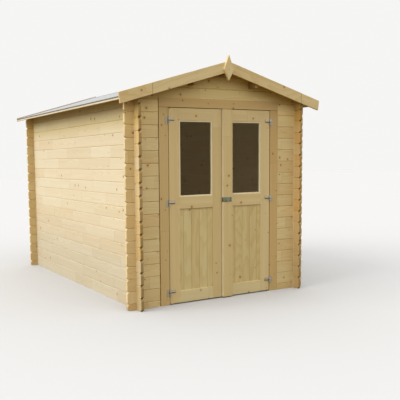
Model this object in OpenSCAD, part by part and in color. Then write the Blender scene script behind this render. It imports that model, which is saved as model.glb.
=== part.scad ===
// Wooden garden shed: interlocking log walls, a low felted gable roof and two
// glazed door leaves that open outwards. The front faces -Y, +Z is up, and the
// origin is on the ground under the middle of the building.

/* [Walls] */
// Width over the outer faces of the side walls
shed_w = 1860; // [1700:5:2300]
// Depth over the outer faces of the front and back walls
shed_d = 2840; // [1800:5:3600]
// Height of the side walls at their outer face
eave_h = 1915; // [1915:1:2400]
// Thickness of the wall logs
wall_t = 28; // [24:1:44]
// Height of one log course
log_h = 114; // [95:1:140]
// How far the logs run past each corner
log_end = 90; // [60:1:110]
// Depth of the chamfer along each log's edges
log_chamfer = 5; // [2:0.5:7]
// Bevel on the upper and lower edges of each log's ends
end_bevel = 18; // [6:1:24]

/* [Roof] */
// Slope of the roof in degrees
roof_pitch = 16; // [10:0.5:24]
// How far the boards run past the side walls
eave_out = 150; // [120:1:260]
// How far the boards run past the front and back walls
verge_out = 98; // [95:1:220]
// Thickness of the roof boards
deck_t = 18; // [14:1:24]
// Thickness of the roofing felt
felt_t = 3; // [2:0.5:5]
// Fold of the felt down over the eave strip
felt_drip = 7; // [5:1:20]
// Width of the felt band over the ridge, on each side
ridge_band = 160; // [100:5:300]
// Thickness of the strip along the eaves
eave_strip_t = 20; // [14:1:30]
// Height of the strip along the eaves
eave_strip_h = 23; // [21:1:60]
// Width of the roof purlins
purlin_w = 45; // [35:1:70]
// Height of the roof purlins
purlin_h = 70; // [50:1:110]
// Distance of the side purlins from the ridge
purlin_x = 345; // [250:5:600]
// Clearance between sloping faces that rest on each other
seat_gap = 0.05; // [0.05:0.05:0.3]

/* [Gable trim] */
// Width of the barge boards
barge_h = 95; // [80:1:140]
// Thickness of the barge boards
barge_t = 20; // [15:1:28]
// How far the barge boards stand above the felt
barge_up = 35; // [10:1:50]
// How far the barge boards run past the eave strips, level
barge_past = 27; // [5:1:60]
// Lean of the cut at the lower ends of the barge boards, in degrees
barge_cut = 8; // [0:1:20]
// Distance from the ridge of the butt joint in the left and the right barge board
barge_joints = [800, 890];
// Opening of those joints
butt_gap = 1.2; // [0.2:0.1:2]
// Width of the diamond at the ridge
finial_w = 106; // [60:1:130]
// Height of the diamond above its widest line
finial_up = 131; // [90:1:170]
// Height of the diamond below its widest line
finial_down = 101; // [70:1:140]
// Thickness of the diamond
finial_t = 22; // [12:1:28]
// Drop of the widest line below the top of the barge boards
finial_drop = 77; // [55:1:85]
// Distance of the diamond from the ridge, to the right
finial_x = -7; // [-15:1:15]
// Height of the strips along the edges of the roof at the back
verge_strip_h = 42; // [36:1:70]
// How far those strips stand above the felt
verge_strip_up = 12; // [3:1:25]

/* [Doors] */
// Distance of the middle of the doorway from the middle of the front, to the right
door_x = 4; // [-20:1:20]
// Height of the door leaves
leaf_h = 1800; // [1600:5:1900]
// Width of each door leaf
leaf_w = 577; // [450:1:650]
// Thickness of the stiles and rails
leaf_t = 30; // [26:1:36]
// Width of the stiles that carry the hinges
hinge_stile_w = 110; // [80:1:130]
// Width of the stiles that meet in the middle
meeting_stile_w = 100; // [80:1:130]
// Height of the top, middle and bottom rails
rail_h = 110; // [80:1:130]
// Height of the lower edge of the middle rail above the ground
mid_rail_z = 889; // [700:1:1100]
// Gap over the leaves, and twice the distance from a leaf to its hinge line
leaf_gap = 6; // [5:0.5:8]
// Gap under the leaves
ground_gap = 10; // [8:1:20]
// Gap between the two leaves
meeting_gap = 8; // [8:0.5:14]
// Width of the cover strip on the right leaf
cover_w = 110; // [90:1:130]
// Thickness of the cover strip on the right leaf
cover_t = 22; // [14:1:28]
// Thickness of the lower board panels
panel_t = 14; // [10:1:18]
// Depth of the panel below the face of the frame
panel_recess = 8; // [4:1:10]
// Width of one panel board
board_w = 88; // [60:1:120]
// Thickness of the glass
glass_t = 4; // [3:0.5:6]
// Depth of the glass below the face of the frame
glass_recess = 15; // [10:1:18]
// Width of the glazing beads
bead_w = 13; // [8:1:20]

/* [Door frame] */
// Gap between the leaves and the left and the right post
post_gaps = [6, 9];
// Width of the left and the right post
post_widths = [94, 92];
// Height of the head board
head_h = 84; // [60:1:110]
// Thickness of the posts and head behind the wall
flange_t = 14; // [10:1:24]
// Gap between the log ends and the left and the right post
settle_gaps = [9, 2];
// How far the flange laps over the logs, from inside
flange_lap = 27; // [15:1:45]

/* [Fittings] */
// Heights of the lower, middle and upper hinges
hinge_z = [126, 956, 1710];
// Radius of the hinge eyes
eye_r = 8; // [6:0.5:9]
// Radius of the hinge pins
pin_r = 3.9; // [2.5:0.1:4.5]
// Running clearance of the pins
pin_clearance = 0.1; // [0.05:0.05:0.2]
// Gap between an eye and the pieces beside it
eye_gap = 0.6; // [0.4:0.1:1.5]
// Height of the eyes that carry the pins
pin_eye_h = 22; // [14:1:30]
// How far the pins stand above the straps
pin_over = 8; // [3:1:15]
// Length of the strap on the leaf
strap_l = 60; // [45:1:90]
// Height of the strap on the leaf
strap_h = 29; // [20:1:36]
// Thickness of the strap on the leaf
strap_t = 5; // [2:0.5:5]
// Width of the plate on the post
plate_w = 30; // [22:1:45]
// Height of the plate on the post
plate_h = 70; // [60:1:100]
// Thickness of the plate on the post
plate_t = 2.5; // [2:0.5:3]
// Width of the hasp on the cover strip
hasp_w = 98; // [80:1:100]
// Height of the hasp
hasp_h = 44; // [30:1:60]
// Thickness of the hasp's metal
hasp_t = 1.5; // [1:0.5:2]
// Width of the hasp's fixed plate
hasp_plate_w = 30; // [24:1:40]
// Radius of the hasp's knuckle
hasp_r = 4; // [3:0.5:5]
// Height of the hasp's middle
hasp_z = 956; // [850:1:1050]
// Radius of the staple's bow, to the middle of its wire
staple_r = 9; // [7:1:13]
// Radius of the staple's wire
staple_wire = 2.5; // [2:0.5:3.5]

/* [Hidden] */

pine = "#d9bd8a";
pine_shade = "#c9a76c";
base_wood = "#a9713c";
felt_grey = "#8f9390";
zinc = "#b9bcc0";

half_w = shed_w / 2;
front_y = -shed_d / 2;
slope = tan(roof_pitch);
deck_rise = deck_t / cos(roof_pitch);
felt_rise = felt_t / cos(roof_pitch);
base_h = log_h / 2;
neck_h = log_h / 2;
thin_log = 30;
past = 1;

// Height of the sloping tops of the walls and purlins
function roof_z(x) = eave_h + (half_w - abs(x)) * slope;
// Height of the underside of the roof boards
function deck_z(x) = roof_z(x) + seat_gap;
// Height of the upper face of the roof boards
function deck_top(x) = deck_z(x) + deck_rise;
// Height of the underside of the felt
function felt_z(x) = deck_top(x) + seat_gap;

deck_edge = half_w + eave_out;
strip_edge = deck_edge + eave_strip_t;
barge_edge = strip_edge + barge_past;
barge_z = felt_z(0) + felt_rise + barge_up;
verge_strip_z = felt_z(0) + felt_rise + verge_strip_up;
roof_front = front_y - verge_out;
course_count = floor((roof_z(0) - thin_log) / log_h);
side_joints = [for (k = [1:course_count]) if (k * log_h < eave_h - thin_log) k * log_h];
cross_joints = [for (k = [0:course_count + 1]) base_h + k * log_h];

leaf_in = meeting_gap / 2;
leaf_out = leaf_in + leaf_w;
leaf_back = front_y + leaf_t;
leaf_top = ground_gap + leaf_h;
head_z = leaf_top + leaf_gap;
door_top = head_z + head_h;
gable_z = base_h + log_h * floor((door_top - base_h) / log_h);
hinge_x = leaf_out + leaf_gap / 2;
hinge_y = front_y - eye_r;
cover_y = front_y - cover_t;
pane_in = leaf_in + meeting_stile_w;
pane_out = leaf_out - hinge_stile_w;
pane_low = mid_rail_z + rail_h;
pane_top = leaf_top - rail_h;

// One of a pair of values: the left for side = -1, the right for side = 1
function of_side(pair, side) = pair[side < 0 ? 0 : 1];
// Distances from the middle of the doorway to both edges of a post, to the logs and to the flange's edge
function post_in(side) = leaf_out + of_side(post_gaps, side);
function post_out(side) = post_in(side) + of_side(post_widths, side);
function wall_end(side) = post_out(side) + of_side(settle_gaps, side);
function flange_end(side) = wall_end(side) + flange_lap;

// ---- helpers -------------------------------------------------------------

// Mirrors what it is given across the middle plane for side = -1
module on_side(side) {
    mirror([side < 0 ? 1 : 0, 0, 0]) children();
}

// The same for the back of the building, end = -1 is the front
module on_end(end) {
    mirror([0, end > 0 ? 1 : 0, 0]) children();
}

// The same across the middle plane of the doorway
module on_door(side) {
    translate([door_x, 0, 0]) on_side(side) children();
}

// A box from its lowest to its highest corner
module span(low, high) {
    translate(low) cube(high - low);
}

// Extrudes an outline drawn as (across, up) over a stretch of Y
module along_y(y0, y1) {
    translate([0, y1, 0]) rotate([90, 0, 0]) linear_extrude(y1 - y0) children();
}

// Extrudes an outline drawn as (depth, up) over a stretch of X
module along_x(x0, x1) {
    translate([x0, 0, 0]) rotate([90, 0, 90]) linear_extrude(x1 - x0) children();
}

// Edge points of a log stack going up, with a V at each joint
function edge_up(x, inward, joints) = [
    for (z = joints) each [[x, z - log_chamfer], [x + inward * log_chamfer, z], [x, z + log_chamfer]]
];

function flip(points) = [for (i = [len(points) - 1:-1:0]) points[i]];

// Section through a stack of logs: x runs from the outer face inwards
module log_section(low, high_out, high_in, joints) {
    outer = edge_up(0, 1, joints);
    inner = edge_up(wall_t, -1, joints);
    polygon(concat(
        [[0, low]], outer, [[0, high_out], [wall_t, high_in]], flip(inner), [[wall_t, low]]
    ));
}

// A length of front wall between two heights, chamfered at both edges
module cross_logs(x0, x1, low, high) {
    joints = [for (z = cross_joints) if (z > low + log_chamfer && z < high - log_chamfer) z];
    c = log_chamfer;
    outer = edge_up(0, 1, joints);
    inner = edge_up(wall_t, -1, joints);
    bottom = low > 0 ? [[wall_t, low + c], [wall_t - c, low], [c, low], [0, low + c]] : [[wall_t, 0], [0, 0]];
    top = [[0, high - c], [c, high], [wall_t - c, high], [wall_t, high - c]];
    translate([0, front_y, 0]) along_x(x0, x1) polygon(concat(bottom, outer, top, flip(inner)));
}

// The space under the roof boards
module under_roof() {
    x = barge_edge + past;
    outline = [[-x, -past], [x, -past], [x, roof_z(x)], [0, roof_z(0)], [-x, roof_z(x)]];
    along_y(-shed_d, shed_d) polygon(outline);
}

// Where the side logs pass through the front and back walls
module side_log_necks() {
    for (side = [-1, 1], k = [0:course_count])
        on_side(side)
            span([half_w - wall_t, front_y - past, (k + 0.25) * log_h],
                 [half_w, front_y + wall_t + past, (k + 0.25) * log_h + neck_h]);
}

// Where the front and back logs pass through the side walls
module cross_log_necks() {
    for (end = [-1, 1], k = [0:course_count])
        on_end(end)
            span([half_w - wall_t - past, front_y, (k - 0.25) * log_h],
                 [half_w + past, front_y + wall_t, (k - 0.25) * log_h + neck_h]);
}

// V cut between two log ends, drawn as (outward, up) from the end face
module end_notch(z) {
    reach = end_bevel + past;
    translate([0, z]) polygon([[past, -reach], [-end_bevel, 0], [past, reach]]);
}

// The bevels at both ends of the side logs
module side_end_bevels() {
    for (end = [-1, 1], z = concat([0], side_joints))
        on_end(end)
            translate([0, front_y - log_end, 0])
                along_x(half_w - wall_t - past, half_w + past) mirror([1, 0]) end_notch(z);
}

// The bevels at both ends of the front and back logs
module cross_end_bevels() {
    for (side = [-1, 1], z = concat([0], cross_joints))
        on_side(side)
            translate([half_w + log_end, 0, 0])
                along_y(front_y - past, front_y + wall_t + past) end_notch(z);
}

// Section of a purlin, its top cut to the slope of the roof
module purlin_section(x) {
    low = roof_z(x) - purlin_h;
    left = x - purlin_w / 2;
    right = x + purlin_w / 2;
    ridge = x == 0 ? [[0, roof_z(0)]] : [];
    polygon(concat([[left, low], [right, low], [right, roof_z(right)]], ridge, [[left, roof_z(left)]]));
}

module purlins(positions) {
    for (x = positions)
        along_y(roof_front, -roof_front) purlin_section(x);
}

// ---- walls ---------------------------------------------------------------

module front_base() {
    color(base_wood)
        difference() {
            for (side = [-1, 1])
                on_side(side) cross_logs(wall_end(side) + side * door_x, half_w + log_end, 0, base_h);
            side_log_necks();
            cross_end_bevels();
        }
}

module back_base() {
    color(base_wood)
        on_end(1)
            difference() {
                cross_logs(-half_w - log_end, half_w + log_end, 0, base_h);
                side_log_necks();
                cross_end_bevels();
            }
}

module side_wall(side) {
    color(pine)
        on_side(side)
            difference() {
                along_y(front_y - log_end, -front_y + log_end)
                    translate([half_w, 0]) mirror([1, 0])
                        log_section(0, eave_h, roof_z(half_w - wall_t), side_joints);
                cross_log_necks();
                side_end_bevels();
            }
}

module front_wall(side) {
    color(pine_shade)
        on_side(side)
            difference() {
                intersection() {
                    cross_logs(wall_end(side) + side * door_x, half_w + log_end, base_h, gable_z);
                    under_roof();
                }
                side_log_necks();
                cross_end_bevels();
            }
}

module gable_logs() {
    intersection() {
        difference() {
            cross_logs(-half_w - log_end, half_w + log_end, gable_z, roof_z(0) + log_h);
            side_log_necks();
            cross_end_bevels();
            purlins([-purlin_x, 0, purlin_x]);
        }
        under_roof();
    }
}

module front_gable() {
    color(pine_shade)
        difference() {
            gable_logs();
            span([door_x - wall_end(-1), front_y - past, gable_z - past],
                 [door_x + wall_end(1), front_y + wall_t + past, door_top]);
        }
}

module back_wall() {
    color(pine_shade)
        on_end(1)
            difference() {
                intersection() {
                    cross_logs(-half_w - log_end, half_w + log_end, base_h, gable_z);
                    under_roof();
                }
                side_log_necks();
                cross_end_bevels();
            }
}

module back_gable() {
    color(pine_shade) on_end(1) gable_logs();
}

// ---- roof ----------------------------------------------------------------

module ridge_purlin() {
    color(pine) purlins([0]);
}

module side_purlins() {
    color(pine) purlins([-purlin_x, purlin_x]);
}

module roof_boards(side) {
    outline = [
        [0, deck_z(0)], [deck_edge, deck_z(deck_edge)], [deck_edge, deck_top(deck_edge)], [0, deck_top(0)]
    ];
    color(pine) on_side(side) along_y(roof_front, -roof_front) polygon(outline);
}

module eave_strip(side) {
    low = deck_top(strip_edge) - eave_strip_h;
    outline = [
        [deck_edge, low], [strip_edge, low], [strip_edge, deck_top(strip_edge)], [deck_edge, deck_top(deck_edge)]
    ];
    color(pine) on_side(side) along_y(roof_front, -roof_front) polygon(outline);
}

module felt(side) {
    edge_z = felt_z(strip_edge);
    outline = [
        [0, felt_z(0)], [strip_edge, edge_z], [strip_edge, edge_z - felt_drip],
        [strip_edge + felt_t, edge_z - felt_drip], [strip_edge + felt_t, felt_z(strip_edge + felt_t) + felt_rise],
        [0, felt_z(0) + felt_rise]
    ];
    color(felt_grey) on_side(side) along_y(roof_front, -roof_front) polygon(outline);
}

module ridge_felt() {
    low = felt_rise + seat_gap;
    high = low + felt_rise;
    outline = [
        [-ridge_band, felt_z(ridge_band) + low], [0, felt_z(0) + low], [ridge_band, felt_z(ridge_band) + low],
        [ridge_band, felt_z(ridge_band) + high], [0, felt_z(0) + high], [-ridge_band, felt_z(ridge_band) + high]
    ];
    color(felt_grey) along_y(roof_front, -roof_front) polygon(outline);
}

// A barge board at the front, in two lengths that meet at joint_x
module barge(side, joint_x) {
    tip_z = barge_z - barge_edge * slope;
    low_x = barge_edge - barge_h * sin(barge_cut);
    low_z = barge_z - barge_h / cos(roof_pitch);
    outline = [[0, low_z], [low_x, low_z - low_x * slope], [barge_edge, tip_z], [0, barge_z]];
    color(pine)
        on_side(side)
            along_y(roof_front - barge_t, roof_front)
                difference() {
                    polygon(outline);
                    translate([joint_x, 0]) square([butt_gap, barge_z]);
                }
}

// The low strip that closes the edge of the roof at the back
module verge_strip(side) {
    low = verge_strip_z - verge_strip_h / cos(roof_pitch);
    fall = strip_edge * slope;
    outline = [[0, low], [strip_edge, low - fall], [strip_edge, verge_strip_z - fall], [0, verge_strip_z]];
    color(pine) on_side(side) along_y(-roof_front, -roof_front + barge_t) polygon(outline);
}

module front_finial() {
    face_y = roof_front - barge_t;
    color(pine)
        translate([finial_x, 0, barge_z - finial_drop])
            along_y(face_y - finial_t, face_y)
                polygon([[0, finial_up], [-finial_w / 2, 0], [0, -finial_down], [finial_w / 2, 0]]);
}

// ---- door frame ----------------------------------------------------------

module door_post(side) {
    face = front_y + wall_t;
    color(pine_shade)
        on_door(side) {
            span([post_in(side), front_y, 0], [post_out(side), face, head_z]);
            span([post_in(side), face, 0], [flange_end(side), face + flange_t, head_z]);
        }
}

module door_head() {
    face = front_y + wall_t;
    color(pine_shade)
        on_door(1) {
            span([-post_out(-1), front_y, head_z], [post_out(1), face, door_top]);
            span([-flange_end(-1), face, head_z], [flange_end(1), face + flange_t, door_top + flange_lap]);
        }
}

// Plates on a post, each with an eye that carries the pin for a strap
module hinge_plates(side) {
    plate_x = hinge_x + eye_r + eye_gap;
    eye_low = -strap_h / 2 - eye_gap - pin_eye_h;
    top = strap_h / 2 + pin_over;
    color(zinc)
        on_door(side)
            for (z = hinge_z)
                translate([0, 0, z]) {
                    span([plate_x, front_y - plate_t, top - plate_h], [post_in(side) + plate_w, front_y, top]);
                    span([hinge_x, front_y - plate_t, eye_low], [plate_x, front_y, eye_low + pin_eye_h]);
                    translate([hinge_x, hinge_y, eye_low]) cylinder(r = eye_r, h = pin_eye_h, $fn = 32);
                    translate([hinge_x, hinge_y, eye_low]) cylinder(r = pin_r, h = top - eye_low, $fn = 32);
                }
}

// ---- door leaves ---------------------------------------------------------

module stiles(side) {
    color(pine_shade)
        on_door(side) {
            span([leaf_in, front_y, ground_gap], [pane_in, leaf_back, leaf_top]);
            span([pane_out, front_y, ground_gap], [leaf_out, leaf_back, leaf_top]);
        }
}

module rails(side) {
    color(pine_shade)
        on_door(side)
            for (z = [ground_gap, mid_rail_z, pane_top])
                span([pane_in, front_y, z], [pane_out, leaf_back, z + rail_h]);
}

module panel(side) {
    c = 3;
    face = front_y + panel_recess;
    low = ground_gap + rail_h;
    color(pine_shade)
        on_door(side)
            difference() {
                span([pane_in, face, low], [pane_out, face + panel_t, mid_rail_z]);
                for (x = [pane_out - board_w / 2:-board_w:pane_in + 2 * c])
                    translate([x, face, low - past])
                        linear_extrude(mid_rail_z - low + 2 * past)
                            polygon([[-c, -past], [0, c], [c, -past]]);
            }
}

module glass(side) {
    face = front_y + glass_recess;
    color("#3c3a30", 0.6) on_door(side) span([pane_in, face, pane_low], [pane_out, face + glass_t, pane_top]);
}

module beads(side) {
    face = front_y + glass_recess;
    bead_face = front_y + 4;
    color(pine)
        on_door(side)
            for (y = [[bead_face, face], [face + glass_t, leaf_back]])
                difference() {
                    span([pane_in, y[0], pane_low], [pane_out, y[1], pane_top]);
                    span([pane_in + bead_w, y[0] - past, pane_low + bead_w],
                         [pane_out - bead_w, y[1] + past, pane_top - bead_w]);
                }
}

// Straps on a leaf, each with an eye that turns on a pin
module straps(side) {
    color(zinc)
        on_door(side)
            for (z = hinge_z)
                translate([hinge_x, front_y, z - strap_h / 2])
                    difference() {
                        union() {
                            span([-strap_l, -strap_t, 0], [0, 0, strap_h]);
                            translate([0, -eye_r, 0]) cylinder(r = eye_r, h = strap_h, $fn = 32);
                        }
                        translate([0, -eye_r, -past])
                            cylinder(r = pin_r + pin_clearance, h = strap_h + 2 * past, $fn = 32);
                    }
}

module right_door_cover() {
    color(pine_shade)
        on_door(1) span([leaf_in, cover_y, ground_gap], [leaf_in + cover_w, front_y, leaf_top]);
}

// The hasp: a fixed plate bent around the edge of the cover strip, a knuckle,
// and a slotted flap over a staple
module lock_plate() {
    face = cover_y - hasp_t;
    low = hasp_z - hasp_h / 2;
    high = hasp_z + hasp_h / 2;
    knuckle_x = leaf_in + hasp_plate_w + hasp_r;
    staple_x = leaf_in + hasp_w - 2 * staple_r;
    slot_w = 2 * staple_wire + 1;
    slot_h = 2 * (staple_r + staple_wire) + 1;
    color(zinc)
        on_door(1) {
            span([leaf_in - hasp_t, face, low], [leaf_in, front_y - hasp_t, high]);
            span([leaf_in, face, low], [knuckle_x, cover_y, high]);
            translate([knuckle_x, cover_y - hasp_r, low]) cylinder(r = hasp_r, h = hasp_h, $fn = 32);
            difference() {
                span([knuckle_x, face, low], [leaf_in + hasp_w, cover_y, high]);
                translate([staple_x - slot_w / 2, face - past, hasp_z - slot_h / 2])
                    cube([slot_w, hasp_t + 2 * past, slot_h]);
            }
            translate([staple_x, cover_y, hasp_z])
                rotate([0, -90, 180]) rotate_extrude(angle = 180, $fn = 48)
                    translate([staple_r, 0]) circle(r = staple_wire, $fn = 24);
        }
}

// ---- the shed ------------------------------------------------------------

front_base();
back_base();
side_wall(-1);  // left_wall
side_wall(1);  // right_wall
front_wall(-1);  // front_wall_left
front_wall(1);  // front_wall_right
front_gable();
back_wall();
back_gable();
ridge_purlin();
side_purlins();
roof_boards(-1);  // roof_boards_left
roof_boards(1);  // roof_boards_right
eave_strip(-1);  // eave_strip_left
eave_strip(1);  // eave_strip_right
felt(-1);  // felt_left
felt(1);  // felt_right
ridge_felt();
barge(-1, barge_joints[0]);  // front_barge_left
barge(1, barge_joints[1]);  // front_barge_right
verge_strip(-1);  // back_barge_left
verge_strip(1);  // back_barge_right
front_finial();
door_post(-1);  // door_post_left
door_post(1);  // door_post_right
door_head();
hinge_plates(-1);  // hinge_plates_left
hinge_plates(1);  // hinge_plates_right
stiles(-1);  // left_door_stiles
rails(-1);  // left_door_rails
panel(-1);  // left_door_panel
glass(-1);  // left_door_glass
beads(-1);  // left_door_beads
straps(-1);  // left_door_straps
stiles(1);  // right_door_stiles
rails(1);  // right_door_rails
panel(1);  // right_door_panel
glass(1);  // right_door_glass
beads(1);  // right_door_beads
straps(1);  // right_door_straps
right_door_cover();
lock_plate();
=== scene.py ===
"""Finish of a wooden garden shed: interlocking logs, a felted gable roof and two glazed door leaves."""

import math

import bmesh
import bpy
from mathutils import Matrix, Vector


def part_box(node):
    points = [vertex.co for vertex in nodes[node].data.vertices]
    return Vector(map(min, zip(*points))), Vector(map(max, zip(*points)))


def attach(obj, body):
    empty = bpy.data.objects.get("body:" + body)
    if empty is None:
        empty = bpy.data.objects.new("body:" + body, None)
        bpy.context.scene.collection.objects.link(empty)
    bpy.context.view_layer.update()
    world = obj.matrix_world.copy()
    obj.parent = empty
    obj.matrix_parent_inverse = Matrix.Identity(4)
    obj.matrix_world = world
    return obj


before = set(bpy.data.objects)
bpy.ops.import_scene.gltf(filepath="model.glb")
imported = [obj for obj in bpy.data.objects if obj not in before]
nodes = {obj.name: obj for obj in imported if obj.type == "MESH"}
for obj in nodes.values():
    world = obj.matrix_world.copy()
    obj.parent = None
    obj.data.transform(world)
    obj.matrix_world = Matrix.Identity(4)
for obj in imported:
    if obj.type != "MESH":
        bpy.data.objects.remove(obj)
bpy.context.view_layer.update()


# ---- Wall logs -------------------------------------------------------------
# Planed spruce logs, 28 mm thick, stacked with a tongue and groove and notched over each
# other at the corners. Short sticks are finger-jointed end to end to make each log.

X = (1.0, 0.0, 0.0)
Y = (0.0, 1.0, 0.0)
Z = (0.0, 0.0, 1.0)

log_h = 2 * (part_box("front_base")[1].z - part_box("front_base")[0].z)
front_face = -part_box("front_gable")[0].y
side_face = -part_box("left_wall")[0].x
wall_t = front_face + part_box("front_gable")[1].y

early_pine = (0.76, 0.61, 0.32, 1.0)
late_pine = (0.60, 0.42, 0.17, 1.0)
pale_pine = (0.80, 0.71, 0.52, 1.0)
pale_late = (0.69, 0.56, 0.35, 1.0)
gap_light_pine = (0.88, 0.77, 0.52, 1.0)
joint_brown = (0.20, 0.11, 0.03, 1.0)
finger_brown = (0.30, 0.17, 0.06, 1.0)
warm_tint = (1.0, 0.86, 0.70, 1.0)
knot_stain = (0.60, 0.36, 0.13, 1.0)
knot_red = (0.27, 0.13, 0.05, 1.0)
knot_black = (0.08, 0.04, 0.02, 1.0)
foot_black = (0.0, 0.0, 0.0, 1.0)
no_tint = (1.0, 1.0, 1.0, 1.0)


def shade_node(tree, kind, inputs=None, **settings):
    """Adds a shader node, with each input a value or another node's output."""
    made = tree.nodes.new("ShaderNode" + kind)
    for name, value in settings.items():
        setattr(made, name, value)
    for name, value in (inputs or {}).items():
        if isinstance(value, bpy.types.NodeSocket):
            tree.links.new(value, made.inputs[name])
        else:
            made.inputs[name].default_value = value
    return made


def calc(tree, operation, *terms):
    """One step of arithmetic on values that change over the surface."""
    return shade_node(tree, "Math", dict(enumerate(terms)), operation=operation).outputs[0]


def ramp(tree, value, low, high, to_low=0.0, to_high=1.0):
    """Eases from to_low to to_high as value goes from low to high."""
    sockets = {"Value": value, "From Min": low, "From Max": high, "To Min": to_low, "To Max": to_high}
    return shade_node(tree, "MapRange", sockets, interpolation_type="SMOOTHSTEP").outputs[0]


def blend(tree, factor, one, other, blend_type="MIX"):
    """Mixes two colours."""
    mix = shade_node(tree, "Mix", data_type="RGBA", blend_type=blend_type)
    for socket, value in ((mix.inputs[0], factor), (mix.inputs[6], one), (mix.inputs[7], other)):
        if isinstance(value, bpy.types.NodeSocket):
            tree.links.new(value, socket)
        else:
            socket.default_value = value
    return mix.outputs[2]


def spread(tree, along, across, through, scales):
    """A texture vector with its own scale along, across and through the board."""
    parts = [calc(tree, "MULTIPLY", value, scale) for value, scale in zip((along, across, through), scales)]
    return shade_node(tree, "CombineXYZ", dict(enumerate(parts))).outputs[0]


def new_group(name, inputs, outputs):
    """A shader node group with named sockets, and its input and output nodes."""
    group = bpy.data.node_groups.new(name, "ShaderNodeTree")
    for socket, kind, value in inputs:
        made = group.interface.new_socket(socket, in_out="INPUT", socket_type="NodeSocket" + kind)
        made.default_value = value
    for socket, kind in outputs:
        group.interface.new_socket(socket, in_out="OUTPUT", socket_type="NodeSocket" + kind)
    return group, group.nodes.new("NodeGroupInput").outputs, group.nodes.new("NodeGroupOutput").inputs


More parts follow.
